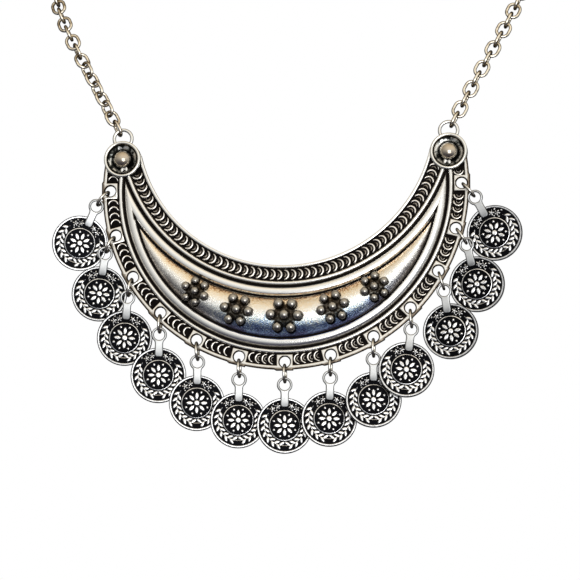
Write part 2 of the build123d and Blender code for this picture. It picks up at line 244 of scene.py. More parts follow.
def joined(parts):
    """Parts of (verts, faces, polish) as one."""
    verts, faces, polish, base = [], [], [], 0
    for v, f, p in parts:
        verts.append(v)
        polish.append(p)
        faces += [tuple(int(i) + base for i in face) for face in f]
        base += len(v)
    return np.vstack(verts), faces, np.concatenate(polish)


def smooth(low, high, value):
    """Eased step from 0 at low to 1 at high."""
    t = np.clip((np.asarray(value, float) - low) / (high - low), 0, 1)
    return t * t * (3 - 2 * t)


def turned(profile, centre, start, end, steps):
    """Sweeps a section of (radius, height, polish) about a centre, from angle to angle."""
    radius, height, polish = np.array(profile, float).T
    angle = np.radians(np.linspace(start, end, steps))[:, None]
    x = centre[0] + radius * np.sin(angle)
    y = centre[1] - radius * np.cos(angle)
    z = np.broadcast_to(height, x.shape)
    verts = np.stack([x, y, z], -1).reshape(-1, 3)
    faces, polish = grid(steps, len(radius), flip=True), np.tile(polish, steps)
    if end - start == 360:
        last = len(verts) - len(radius)
        return verts[:last], faces % last, polish[:last]
    return verts, faces, polish


def plate(outlines, low, high, bevel, name):
    """A flat plate with rounded edges between two levels, from closed outlines and holes."""
    curve = bpy.data.curves.new(name, "CURVE")
    curve.dimensions = "2D"
    curve.fill_mode = "BOTH"
    curve.extrude = ((high - low) / 2 - bevel) * MM
    curve.bevel_depth = bevel * MM
    curve.bevel_resolution = 3
    curve.offset = -bevel * MM
    for outline in outlines:
        spline = curve.splines.new("POLY")
        spline.points.add(len(outline) - 1)
        spline.points.foreach_set("co", [c for x, y in outline for c in (x * MM, y * MM, 0, 1)])
        spline.use_cyclic_u = True
    obj = bpy.data.objects.new(name, curve)
    bpy.context.scene.collection.objects.link(obj)
    mesh = bpy.data.meshes.new_from_object(obj)
    verts = np.empty(len(mesh.vertices) * 3)
    mesh.vertices.foreach_get("co", verts)
    verts = verts.reshape(-1, 3) / MM
    verts[:, 2] += (high + low) / 2
    faces = [tuple(p.vertices) for p in mesh.polygons]
    bpy.data.objects.remove(obj)
    bpy.data.curves.remove(curve)
    bpy.data.meshes.remove(mesh)
    return verts, faces


def arc(radius, centre_y, start, end, steps):
    """Points of an arc on the bib's face."""
    a = np.radians(np.linspace(start, end, steps))
    return [(radius * sin(t), centre_y - radius * cos(t)) for t in a]


def circle(x, y, radius, steps=40):
    """Points of a circle on the bib's face."""
    a = np.linspace(0, 2 * np.pi, steps, endpoint=False)
    return [(x + radius * cos(t), y + radius * sin(t)) for t in a]


def with_back(verts, front):
    """The polish of a plate's front, and of the plain back behind it."""
    return np.where(verts[:, 2] < PLATE_BACK, BACK_POLISH, front)


# ---- Parts of node trees ----

# Colour sockets of a Mix node, which share their names with its other ones
MIX_FIRST, MIX_SECOND, MIX_RESULT = 6, 7, 2


def feed(tree, source, socket):
    """Links a socket to another, or sets it where the source is a plain value."""
    if isinstance(source, bpy.types.NodeSocket):
        tree.links.new(source, socket)
    else:
        socket.default_value = source


def calculated(tree, operation, first, second, clamp=False):
    """Result of a Math node over two sockets or values."""
    node = tree.nodes.new("ShaderNodeMath")
    node.operation = operation
    node.use_clamp = clamp
    feed(tree, first, node.inputs[0])
    feed(tree, second, node.inputs[1])
    return node.outputs[0]


def attribute(tree, name):
    """Value of a mesh attribute."""
    node = tree.nodes.new("ShaderNodeAttribute")
    node.attribute_name = name
    return node.outputs["Fac"]


def noise(tree, where, scale, detail=4.0, roughness=0.5):
    """Value of a noise at a place."""
    node = tree.nodes.new("ShaderNodeTexNoise")
    node.inputs["Detail"].default_value = detail
    node.inputs["Roughness"].default_value = roughness
    feed(tree, where, node.inputs["Vector"])
    feed(tree, scale, node.inputs["Scale"])
    return node.outputs[0]


def ranged(tree, value, low=0.0, high=1.0, start=0.0):
    """A value between start and 1 brought between low and high."""
    node = tree.nodes.new("ShaderNodeMapRange")
    node.inputs["From Min"].default_value = start
    node.inputs["To Min"].default_value = low
    node.inputs["To Max"].default_value = high
    feed(tree, value, node.inputs["Value"])
    return node.outputs["Result"]


def ramp(tree, value, stops):
    """Colour for a value, from (position, colour) stops."""
    node = tree.nodes.new("ShaderNodeValToRGB")
    band = node.color_ramp
    while len(band.elements) > 1:
        band.elements.remove(band.elements[-1])
    band.elements[0].position, band.elements[0].color = stops[0][0], (*stops[0][1], 1)
    for at, colour in stops[1:]:
        band.elements.new(at).color = (*colour, 1)
    feed(tree, value, node.inputs["Fac"])
    return node.outputs["Color"]


def mixed(tree, first, second, factor=1.0, blend="MULTIPLY"):
    """Colour of two laid over each other."""
    node = tree.nodes.new("ShaderNodeMix")
    node.data_type = "RGBA"
    node.blend_type = blend
    feed(tree, factor, node.inputs["Factor"])
    feed(tree, first, node.inputs[MIX_FIRST])
    feed(tree, second, node.inputs[MIX_SECOND])
    return node.outputs[MIX_RESULT]


# ---- Repeating with Geometry Nodes ----


def repeat_tree():
    """Geometry Nodes group that puts an item on each point, turned and sized by its attributes."""
    tree = bpy.data.node_groups.new("repeat_item", "GeometryNodeTree")
    inputs = {
        "Points": "Geometry",
        "Item": "Object",
        "Finish": "Material",
        "Unevenness": "Float",
        "Seed": "Int",
    }
    for name, kind in inputs.items():
        tree.interface.new_socket(name, in_out="INPUT", socket_type="NodeSocket" + kind)
    tree.interface.new_socket("Pieces", in_out="OUTPUT", socket_type="NodeSocketGeometry")
    make, link = tree.nodes.new, tree.links.new
    start, end = make("NodeGroupInput"), make("NodeGroupOutput")
    item = make("GeometryNodeObjectInfo")
    link(start.outputs["Item"], item.inputs["Object"])
    told = {}
    for name, kind in (("aim", "FLOAT_VECTOR"), ("size", "FLOAT")):
        node = make("GeometryNodeInputNamedAttribute")
        node.data_type = kind
        node.inputs["Name"].default_value = name
        told[name] = node.outputs["Attribute"]
    # The number sockets of Random Value share their names with its vector ones
    vary = make("FunctionNodeRandomValue")
    vary.data_type = "FLOAT"
    lowest, highest, varied = vary.inputs[2], vary.inputs[3], vary.outputs[1]
    link(calculated(tree, "SUBTRACT", 1.0, start.outputs["Unevenness"]), lowest)
    link(calculated(tree, "ADD", 1.0, start.outputs["Unevenness"]), highest)
    link(start.outputs["Seed"], vary.inputs["Seed"])
    place = make("GeometryNodeInstanceOnPoints")
    link(start.outputs["Points"], place.inputs["Points"])
    link(item.outputs["Geometry"], place.inputs["Instance"])
    link(told["aim"], place.inputs["Rotation"])
    link(calculated(tree, "MULTIPLY", told["size"], varied), place.inputs["Scale"])
    real = make("GeometryNodeRealizeInstances")
    link(place.outputs["Instances"], real.inputs["Geometry"])
    finish = make("GeometryNodeSetMaterial")
    link(real.outputs["Geometry"], finish.inputs["Geometry"])
    link(start.outputs["Finish"], finish.inputs["Material"])
    link(finish.outputs["Geometry"], end.inputs["Pieces"])
    return tree


def repeated(name, item, places, material, unevenness, seed):
    """Copies of an item, a mesh in metres about the origin, at places of (matrix, size)."""
    points = bpy.data.meshes.new(name + "_points")
    points.from_pydata([m.translation for m, _ in places], [], [])
    aim = points.attributes.new("aim", "FLOAT_VECTOR", "POINT")
    aim.data.foreach_set("vector", [v for m, _ in places for v in m.to_euler()])
    size = points.attributes.new("size", "FLOAT", "POINT")
    size.data.foreach_set("value", [s for _, s in places])
    carrier = bpy.data.objects.new(name, points)
    bpy.context.scene.collection.objects.link(carrier)
    modifier = carrier.modifiers.new("repeat", "NODES")
    modifier.node_group = REPEAT
    key = {s.name: s.identifier for s in REPEAT.interface.items_tree if s.in_out == "INPUT"}
    modifier[key["Item"]] = item
    modifier[key["Finish"]] = material
    modifier[key["Unevenness"]] = unevenness
    modifier[key["Seed"]] = seed
    shown = carrier.evaluated_get(bpy.context.evaluated_depsgraph_get())
    mesh = bpy.data.meshes.new_from_object(shown)
    mesh.name = name
    carrier.modifiers.clear()
    carrier.data = mesh
    bpy.data.meshes.remove(points)
    return carrier


REPEAT = repeat_tree()


# ---- Materials ----

# Clouds and grain of the patina, by the metre, and the height of the grain in metres
CLOUD_SCALE = 700.0
CLOUD_AMOUNT = 0.3
GRAIN_SCALE = 4200.0
GRAIN_HEIGHT = 0.00015


def patina_group():
    """Shared effect: uneven patina from a polish value, with grain for the bump."""
    tree = bpy.data.node_groups.new("patina", "ShaderNodeTree")
    inputs = {
        "Polish": 0.0,
        "Cloud scale": CLOUD_SCALE,
        "Cloud amount": CLOUD_AMOUNT,
        "Grain scale": GRAIN_SCALE,
    }
    for name, value in inputs.items():
        socket = tree.interface.new_socket(name, in_out="INPUT", socket_type="NodeSocketFloat")
        socket.default_value = value
    for name in ("Silver", "Grain"):
        tree.interface.new_socket(name, in_out="OUTPUT", socket_type="NodeSocketFloat")
    told = tree.nodes.new("NodeGroupInput").outputs
    given = tree.nodes.new("NodeGroupOutput").inputs
    where = tree.nodes.new("ShaderNodeTexCoord").outputs["Object"]
    cloud = calculated(tree, "SUBTRACT", noise(tree, where, told["Cloud scale"]), 0.5)
    uneven = calculated(tree, "MULTIPLY", cloud, told["Cloud amount"])
    total = calculated(tree, "ADD", told["Polish"], uneven, clamp=True)
    tree.links.new(total, given["Silver"])
    grain = noise(tree, where, told["Grain scale"], detail=3.0, roughness=0.6)
    tree.links.new(grain, given["Grain"])
    return tree


PATINA = patina_group()

# Colours of the metal, from the bottom of the recesses to the polished tops
DEEP = (0.006, 0.005, 0.005)
BROWN = (0.035, 0.026, 0.018)
GREY = (0.21, 0.195, 0.175)
COLOUR_STOPS = (0.0, 0.3, 0.52, 0.8)


def silver(
    name,
    polished,
    dark=(DEEP, BROWN, GREY),
    rough=(0.5, 0.2),
    bump=0.12,
    fixed=None,
    facing=None,
    cloud=CLOUD_AMOUNT,
    cloud_scale=CLOUD_SCALE,
):
    """Antique silver: dark patina in the recesses and polished metal on the tops.

    The polish is the mesh's own where none is fixed. The roughness runs from the recesses to the
    tops, and facing paints shade on round wire, darkening it where it turns away.
    """
    material = bpy.data.materials.new(name)
    material.use_nodes = True
    tree = material.node_tree
    shader = tree.nodes["Principled BSDF"]
    finish = tree.nodes.new("ShaderNodeGroup")
    finish.node_tree = PATINA
    finish.inputs["Cloud amount"].default_value = cloud
    finish.inputs["Cloud scale"].default_value = cloud_scale
    feed(tree, attribute(tree, "polish") if fixed is None else fixed, finish.inputs["Polish"])
    silvered = finish.outputs["Silver"]
    if facing:
        edge = tree.nodes.new("ShaderNodeLayerWeight")
        edge.inputs["Blend"].default_value = facing
        silvered = calculated(tree, "SUBTRACT", silvered, edge.outputs["Facing"], clamp=True)
    colour = ramp(tree, silvered, list(zip(COLOUR_STOPS, (*dark, polished))))
    tree.links.new(colour, shader.inputs["Base Color"])
    tree.links.new(ranged(tree, silvered, *rough), shader.inputs["Roughness"])
    shader.inputs["Metallic"].default_value = 1.0
    grain = tree.nodes.new("ShaderNodeBump")
    grain.inputs["Strength"].default_value = bump
    grain.inputs["Distance"].default_value = GRAIN_HEIGHT
    tree.links.new(finish.outputs["Grain"], grain.inputs["Height"])
    tree.links.new(grain.outputs["Normal"], shader.inputs["Normal"])
    return material


# Painted reflection across the dome, amber above, white in the middle and dark blue below: from
# its upper edge to its lower one, in its middle and at its ends
UPPER_REFLECTION = [
    (0.0, (0.34, 0.2, 0.1)),
    (0.04, (0.8, 0.54, 0.32)),
    (0.14, (1.0, 0.87, 0.67)),
    (0.36, (1.0, 0.96, 0.88)),
]
MIDDLE_REFLECTION = UPPER_REFLECTION + [
    (0.5, (1, 1, 1)),
    (0.64, (0.80, 0.88, 0.85)),
    (0.76, (0.50, 0.66, 0.86)),
    (0.88, (0.25, 0.38, 0.72)),
    (1.0, (0.14, 0.15, 0.34)),
]
END_REFLECTION = UPPER_REFLECTION + [
    (0.5, (1, 1, 0.98)),
    (0.68, (0.86, 0.845, 0.81)),
    (0.85, (0.52, 0.505, 0.5)),
    (1.0, (0.2, 0.18, 0.18)),
]
# Clouds that shift the painted reflection: their scale and by how much
TINT_CLOUDS = ((150.0, 0.24), (1800.0, 0.3))


def dome_silver():
    """Silver of the dome, its patina under a painted reflection whose tint changes across it and
    towards its ends.
    """
    material = silver(
        "dome_silver",
        (0.95, 0.935, 0.91),
        rough=(0.42, 0.2),
        bump=0.75,
        cloud=0.7,
        cloud_scale=1900.0,
    )
    tree = material.node_tree
    colour = tree.nodes["Principled BSDF"].inputs["Base Color"]
    metal = colour.links[0].from_socket
    where = tree.nodes.new("ShaderNodeTexCoord").outputs["Object"]
    level = attribute(tree, "across")
    for scale, amount in TINT_CLOUDS:
        shift = ranged(tree, noise(tree, where, scale), -amount, amount)
        level = calculated(tree, "ADD", level, shift)
    middle, end = (ramp(tree, level, stops) for stops in (MIDDLE_REFLECTION, END_REFLECTION))
    # Painted reflection, warm above, white in the middle and dark blue below, tints the metal
    reflection = mixed(tree, middle, end, attribute(tree, "ends"), "MIX")
    tree.links.new(mixed(tree, metal, reflection), colour)
    return material


BIB = silver("bib_silver", (0.93, 0.915, 0.88), cloud_scale=1500.0)
BORDER = silver(
    "border_silver",
    (0.86, 0.84, 0.795),
    dark=(DEEP, (0.05, 0.036, 0.024), (0.28, 0.235, 0.185)),
    cloud_scale=900.0,
)
SCALES = silver(
    "scale_silver",
    (0.97, 0.93, 0.87),
    dark=(DEEP, (0.05, 0.037, 0.027), (0.30, 0.265, 0.225)),
)
GRANULES = silver("granule_silver", (0.42, 0.395, 0.355), rough=(0.4, 0.17))
# Cups: strong clouds give uneven patina and painted reflection, in white and dark patches
BOSS = silver(
    "boss_silver",
    (0.90, 0.89, 0.84),
    dark=((0.012, 0.012, 0.011), (0.055, 0.056, 0.05), (0.27, 0.285, 0.27)),
    cloud=4.0,
    cloud_scale=760.0,
)
BALL = silver(
    "boss_ball_silver", (0.58, 0.50, 0.40), rough=(0.35, 0.2), cloud=0.5, cloud_scale=500.0
)
BACK_METAL = silver(
    "back_silver", (0.6, 0.59, 0.57), rough=(0.6, 0.42), bump=0.5, fixed=0.66, cloud=0.4
)
COIN = silver(
    "coin_silver_relief",
    (0.95, 0.955, 0.955),
    dark=((0.004, 0.004, 0.005), (0.012, 0.012, 0.014), (0.2, 0.2, 0.21)),
    rough=(0.4, 0.2),
    cloud_scale=1400.0,
)
BAIL = silver(
    "bail_silver",
    (0.66, 0.67, 0.675),
    dark=(DEEP, (0.05, 0.05, 0.052), (0.33, 0.34, 0.35)),
    rough=(0.5, 0.34),
    bump=0.1,
    cloud_scale=260.0,
)
# Round wire gets painted shade from facing, darker where it turns away
ROUND_WIRE = {"rough": (0.4, 0.16), "bump": 0.08, "fixed": 0.93, "facing": 0.64}
WIRE = silver(
    "wire_silver",
    (0.96, 0.88, 0.73),
    dark=((0.04, 0.03, 0.018), (0.10, 0.078, 0.05), (0.33, 0.27, 0.19)),
    cloud=1.0,
    **ROUND_WIRE,
)
RING = silver(
    "ring_silver",
    (0.88, 0.845, 0.77),
    dark=((0.03, 0.026, 0.02), (0.09, 0.08, 0.065), (0.29, 0.265, 0.225)),
    cloud=0.8,
    **ROUND_WIRE,
)
# The loops too get painted shade from facing where the wire turns away
LOOP = silver("loop_silver", (0.93, 0.91, 0.86), bump=0.06, fixed=1.04, facing=0.6, cloud=0.4)
DOME = dome_silver()


# ---- The bib's border, field and thin ridges ----

hole_circle = OUTER_EDGE - HOLE_INSET
pad_angles = [(k - (PADS - 1) / 2) * PAD_STEP for k in range(PADS)]
hole_places = [(hole_circle * sin(radians(a)), -hole_circle * cos(radians(a))) for a in pad_angles]


def pad_corner(angle, out, along):
    """A point beside a pad's hole, out from the bib's centre and along its edge."""
    a = radians(angle)
    radius = hole_circle + out
    return radius * sin(a) + along * cos(a), -radius * cos(a) + along * sin(a)


def border_outline(steps=14):
    """The rim with its pads: along the outer edge to the right, and back along the inner."""
    outer, inner = [], []
    half = PAD_ALONG / 2
    rim = OUTER_EDGE - OUTER_RIM
    outer_turn = degrees(half / OUTER_EDGE)
    inner_turn = degrees(half / rim)
    for k, a in enumerate(pad_angles):
        start = -OUTER_END if k == 0 else pad_angles[k - 1] + outer_turn
        outer += arc(OUTER_EDGE, 0, start, a - outer_turn, steps)[:-1]
        outer += [pad_corner(a, PAD_OUTER, -half), pad_corner(a, PAD_OUTER, half)]
        start = -OUTER_END if k == 0 else pad_angles[k - 1] + inner_turn
        inner += arc(rim, 0, start, a - inner_turn, steps)
        inner += [pad_corner(a, -PAD_INNER, -half), pad_corner(a, -PAD_INNER, half)]
    outer += arc(OUTER_EDGE, 0, pad_angles[-1] + outer_turn, OUTER_END, steps)[1:]
    inner += arc(rim, 0, pad_angles[-1] + inner_turn, OUTER_END, steps)
    return outer + inner[::-1]


def border_shade(verts):
    """Bright tops, and painted shade: darker on the rounded edges and at the holes, most on their
    upper left, and along the outer edge.
    """
    away = verts[:, :2] - np.array(hole_places)[:, None]
    from_holes = np.linalg.norm(away, axis=2)
    nearest, points = from_holes.argmin(0), np.arange(len(verts))
    from_hole = from_holes[nearest, points]
    away = away[nearest, points]
    upper_left = np.clip((away[:, 1] - away[:, 0]) / from_hole / sqrt(2), 0, 1)
    in_shade = upper_left * smooth(HOLE_R + 0.7, HOLE_R + 0.4, from_hole)
    from_edge = OUTER_EDGE - np.hypot(verts[:, 0], verts[:, 1])
    # Painted shade: darker on the rounded edge, round the holes, most on their upper left, and
    # along the outer edge
    front = 0.22 + 0.83 * smooth(0.45, 0.55, verts[:, 2])
    front *= 0.25 + 0.75 * smooth(HOLE_R + 0.2, HOLE_R + 0.48, from_hole)
    front *= (1 - 0.45 * in_shade) * (0.42 + 0.58 * smooth(0.3, 1.0, from_edge))
    return with_back(verts, front)


def bib_outline(outer_inset, inner_inset, outer_steps):
    """The bib's outline, set in from its two arcs."""
    outer = arc(OUTER_EDGE - outer_inset, 0, -OUTER_END, OUTER_END, outer_steps)
    return outer + arc(INNER_EDGE + inner_inset, SHIFT, INNER_END, -INNER_END, 121)


holes = [circle(x, y, HOLE_R) for x, y in hole_places]
verts, faces = plate([border_outline(), *holes], -HALF_BORDER, HALF_BORDER, 0.48, "border")
values = {"polish": border_shade(verts)}
bib_piece(new_object("bib_border", to_row(verts), faces, [BORDER], values, CREASE))

# Floor of the field, which lies inside the border and round its holes, and the plain back
wide_holes = [circle(x, y, HOLE_R + 0.06) for x, y in hole_places]
field_outlines = [bib_outline(0.7, 0.3, 181), *wide_holes]
verts, faces = plate(field_outlines, -HALF_BORDER + 0.02, FLOOR, 0.05, "field")
values = {"polish": with_back(verts, 0.0)}
bib_piece(new_object("bib_field", to_row(verts), faces, [BIB], values, CREASE))
verts, faces = plate([bib_outline(THIN_INSET, 0, 161)], BACK, 0.0, 0.12, "back")
bib_piece(new_object("bib_back", to_row(verts), faces, [BACK_METAL], None, CREASE))

# Inner rim: a round-topped band
half_rim = INNER_RIM / 2
rim_section = [(INNER_EDGE, BACK + 0.2, 0.1)]
for a in np.pi * np.linspace(0, 1, 13):
    radius = INNER_EDGE + half_rim - half_rim * cos(a)
    level = HALF_BORDER - 0.3 + 0.3 * sin(a) ** 0.7
    rim_section.append((radius, level, float(smooth(0.1, 0.6, sin(a)))))
rim_section.append((INNER_EDGE + INNER_RIM, SUNK, 0.0))
verts, faces, polish = turned(rim_section[::-1], (0, SHIFT), -INNER_END, INNER_END, 221)
bib_piece(new_object("bib_inner_rim", to_row(verts), faces, [BIB], {"polish": polish}, 50))


def thin_section(radius, steps=11):
    """Section of a thin ridge that stands on the field, outer side first."""
    t = np.linspace(0, np.pi, steps)
    high = np.sin(t) ** 0.7
    across = radius + THIN_W / 2 * np.cos(t)
    level = FLOOR + 0.03 + (THIN_H - 0.03) * high
    crest = np.column_stack([across, level, 0.45 + 0.65 * smooth(0.1, 0.5, high)])
    foot = THIN_W / 2 + 0.3
    return np.vstack([(radius + foot, SUNK, 0.05), crest, (radius - foot, SUNK, 0.05)])


ridges = [
    turned(thin_section(OUTER_EDGE - THIN_INSET), (0, 0), -OUTER_END, OUTER_END, 301),
    turned(thin_section(INNER_EDGE + THIN_INSET), (0, SHIFT), -INNER_END, INNER_END, 241),
]
verts, faces, polish = joined(ridges)
bib_piece(new_object("bib_thin_ridges", to_row(verts), faces, [BIB], {"polish": polish}))


# ---- The broad ridges, the groove and the dome, on chords across the bib ----


def meeting(lower, upper):
    """Angles at which an outer and an inner arc meet."""
    y = (lower**2 - upper**2 + SHIFT**2) / (2 * SHIFT)
    x = sqrt(lower**2 - y**2)
    return degrees(atan2(x, -y)), degrees(atan2(x, SHIFT - y))


def chord_maker(inset):
    """Chords across the lens that lies this far in from both edges, and its half angles."""
    low_r, up_r = OUTER_EDGE - inset, INNER_EDGE + inset
    low_half, up_half = meeting(low_r, up_r)

    def chord(share):
        low, up = radians(share * low_half), radians(share * up_half)
        lower = np.array([low_r * sin(low), -low_r * cos(low)])
        return lower, np.array([up_r * sin(up), SHIFT - up_r * cos(up)])

    return chord, low_half, up_half


band_chord = chord_maker(BAND)[0]
dome_ends, lower_half, upper_half = chord_maker(DOME_INSET)


def dome_chord(share):
    """Middle, direction and length of the dome's width at a share of its length."""
    lower, upper = dome_ends(share)
    width = float(np.hypot(*(lower - upper)))
    return (lower + upper) / 2, (lower - upper) / max(width, 1e-6), width


full_width = dome_chord(0)[2]


def dome_height(width, offset):
    """Height of the dome's round section over the field."""
    if width < 0.05:
        return 0.0
    rise = DOME_HEIGHT * (width / full_width) ** DOME_FULLNESS
    arc_r = (width**2 / 4 + rise**2) / (2 * rise)
    return rise - arc_r + sqrt(max(arc_r**2 - min(abs(offset), width / 2) ** 2, 0))


def dome_at(x, y):
    """Height of the dome over a point of the bib's face."""
    share = (degrees(atan2(x, -y)) / lower_half + degrees(atan2(x, SHIFT - y)) / upper_half) / 2
    if abs(share) > 1:
        return 0.0
    middle, across, width = dome_chord(share)
    return dome_height(width, float(np.dot((x, y) - middle, across)))


def crossing(start, way, centre_y, radius):
    """Share of a chord at which it first crosses a circle."""
    b = start[0] * way[0] + (start[1] - centre_y) * way[1]
    a = way[0] ** 2 + way[1] ** 2
    c = start[0] ** 2 + (start[1] - centre_y) ** 2 - radius**2
    return (-b - sqrt(max(b * b - a * c, 0))) / a


# Zones across the band: lower ridge, groove, dome, groove, upper ridge, and the steps of each
LOWER_RIDGE, LOWER_GROOVE, OPEN_DOME, UPPER_GROOVE, UPPER_RIDGE = range(5)
ZONE_STEPS = (14, 4, 50, 4, 14)


def zone_cuts(lower, way):
    """Shares of a chord at which its zones begin and end."""
    cuts = [0.0, 0.5, 0.5, 0.5, 0.5, 1.0]
    if way @ way > 1e-9:
        for inset, low_at, up_at in ((GROOVE, 1, 4), (DOME_INSET, 2, 3)):
            low = crossing(lower, way, 0, OUTER_EDGE - inset)
            up = crossing(lower, way, SHIFT, INNER_EDGE + inset)
            if low > up:
                # Closed: the zone shrinks to a line inside the one round it
                left, right = (0.4, 0.6) if low_at == 1 else (cuts[1], cuts[4])
                low = up = min(max((low + up) / 2, left), right)
            cuts[low_at], cuts[up_at] = low, up
    return cuts


def zone_shares(zone):
    """Shares across a zone, closer together at the edges of a ridge."""
    count = ZONE_STEPS[zone]
    t = np.linspace(0, 1, count + 1)[: count + (zone == UPPER_RIDGE)]
    if zone in (LOWER_RIDGE, UPPER_RIDGE):
        t = t * 0.6 + 0.4 * (1 - np.cos(np.pi * t)) / 2
    return t


def clear_of_granules(x, y):
    """From 0 among the granules and close round them to 1 on the open dome."""
    clear = 1.0
    for cluster, spots in zip(CLUSTERS, cluster_spots):
        away = np.hypot(spots[:, 0] - x, spots[:, 1] - y)
        if away[0] < cluster.ring_r + 3:
            halo = smooth(cluster.ball_r - 0.1, cluster.ball_r + 0.35, away.min())
            outside = smooth(cluster.ring_r * 0.8, cluster.ring_r * 1.0, away[0])
            clear = float(halo * (0.32 + 0.68 * outside))
    return clear


def ridge_at(x, y, crest, pinch):
    """Height and polish of a broad ridge with its crest at a share of its width."""
    from_edge = min(OUTER_EDGE - float(np.hypot(x, y)), float(np.hypot(x, y - SHIFT)) - INNER_EDGE)
    u = min(max((from_edge - BAND) / BROAD_W, 0), 1)
    v = max((u - crest) / (1 - crest), 0)
    high = BROAD_H * (1 - max(1 - u / crest, 0) ** 3 - 0.25 * v**2) * sqrt(max(1 - v**10, 0))
    bright = 0.3 + 0.85 * float(smooth(0.0, 0.36, u))
    return high, bright * (1 - 0.85 * pinch * float(smooth(0.7, 0.95, u)))


cluster_spots = []
for cluster in CLUSTERS:
    middle = dome_chord(cluster.share)[0]
    turns = [radians(cluster.turn + k * 60) for k in range(6)]
    ring = [middle + cluster.ring_r * np.array([cos(t), sin(t)]) for t in turns]
    cluster_spots.append(np.array([middle, *ring]))

verts, across_values, end_values, polish = [], [], [], []
even = np.linspace(-1, 1, 401)
shares = 0.55 * even + 0.45 * np.sin(np.pi / 2 * even)
for share in shares:
    lower, upper = band_chord(share)
    way = upper - lower
    cuts = zone_cuts(lower, way)
    open_share = cuts[4] - cuts[1]
    shut = open_share < 1e-9
    # The ridges darken where the groove between them runs out
    pinch = float(smooth(0.7, 0.1, open_share * float(np.hypot(*way))))
    # Away from the tips the lower ridge's crest is near the groove, the upper one's in its middle
    from_tips = float(smooth(1.0, 0.8, abs(share)))
    for zone in range(5):
        for share_across in zone_shares(zone):
            x, y = lower + way * (cuts[zone] + (cuts[zone + 1] - cuts[zone]) * share_across)
            if zone == OPEN_DOME and not shut:
                high = dome_at(x, y)
                bright = 0.2 + 0.85 * float(smooth(0.0, 0.4, high))
                bright *= clear_of_granules(x, y)
            elif zone in (LOWER_GROOVE, UPPER_GROOVE) and not shut:
                high, bright = 0.0, 0.16
            else:
                crest = 0.65 + (0.2 if zone == LOWER_RIDGE else -0.15) * from_tips
                high, bright = ridge_at(x, y, crest, pinch)
            verts.append((x, y, SUNK + high))
            polish.append(bright)
            # Across and ends place the dome's painted reflection
            across_values.append(1 - share_across if zone == OPEN_DOME else 0.5)
            end_values.append(float(smooth(14, 34, abs(x - 4))))
columns = len(verts) // len(shares)
faces = grid(len(shares), columns, flip=True)
kinds = np.zeros(columns - 1, int)
kinds[sum(ZONE_STEPS[:OPEN_DOME]) : -sum(ZONE_STEPS[UPPER_GROOVE:])] = 1
slots = np.tile(kinds, len(shares) - 1)
values = {"polish": polish, "across": across_values, "ends": end_values}
bib_piece(new_object("bib_dome", to_row(verts), faces, [BIB, DOME], values, None, slots))


# ---- Bosses and loops ----

# The cup from the middle of its closed back, over its rim, to the middle of its floor
cup = [(0, BACK - 0.02, 0.7), (BOSS_R - 0.1, BACK - 0.02, 0.7), (BOSS_R, BACK + 0.1, 0.5)]
cup += [(BOSS_R, 1.1, 0.3), (5.73, 1.4, 0.55), (5.66, 1.62, 1.2), (5.52, 1.79, 2.0)]
cup += [(5.34, 1.88, 2.0), (5.1, 1.87, 2.0), (4.9, 1.75, 2.0), (4.76, 1.55, 1.2)]
cup += [(4.7, 1.35, -0.6), (4.6, 1.2, 0.0), (4.35, 1.0, 0.52), (4.0, 0.82, 0.6)]
cup += [(3.6, 0.68, 0.56), (3.3, 0.5, 0.3), (3.05, 0.35, -0.3), (2.8, 0.25, -0.8)]
cup += [(0, 0.25, -0.8)]
ball = [(0, -0.1, 0.0)]
for a in np.radians(np.linspace(-20, 90, 25)):
    bright = 0.3 + 0.7 * float(smooth(0.15, 0.7, sin(a)))
    ball.append((BALL_R * cos(a), BALL_LEVEL + BALL_R * sin(a), bright))
# The first two bands of the cup are its back
cup_slots = [2, 2] + [0] * (len(cup) - 3)
ball_slots = [1] * (len(ball) - 1)
bosses = []
for side in (-1, 1):
    # The left cup is the darker
    dimmed = [(r, z, p - (0.14 if side < 0 and p < 0.9 else 0)) for r, z, p in cup]
    for section in (dimmed, ball):
        bosses.append(turned(section, (side * BOSS_X, BOSS_Y), 0, 360, BOSS_STEPS + 1))
verts, faces, polish = joined(bosses)
materials, slots = [BOSS, BALL, BACK_METAL], (cup_slots * BOSS_STEPS + ball_slots * BOSS_STEPS) * 2
bib_piece(new_object("bib_bosses", to_row(verts), faces, materials, {"polish": polish}, 60, slots))

u = np.linspace(0, 2 * np.pi, LOOP_STEPS, endpoint=False)[:, None]
w = np.linspace(0, 2 * np.pi, WIRE_STEPS, endpoint=False)[None, :]
radius = LOOP_R + LOOP_WIRE * np.cos(w)
quads = []
for i, j in np.ndindex(LOOP_STEPS, WIRE_STEPS):
    here, after, beside = i * WIRE_STEPS, (i + 1) % LOOP_STEPS * WIRE_STEPS, (j + 1) % WIRE_STEPS
    quads.append((here + j, after + j, after + beside, here + beside))
loops = []
for side in (-1, 1):
    x = side * BOSS_X + radius * np.cos(u)
    y = BOSS_Y + LOOP_RISE + radius * np.sin(u)
    ring = np.stack([x, y, LOOP_WIRE * np.sin(w) + 0 * u], -1).reshape(-1, 3)
    loops.append((ring, quads, np.ones(len(ring))))
verts, faces, polish = joined(loops)
bib_piece(new_object("bib_loops", to_row(verts), faces, [LOOP]))


# ---- Scales and granules ----


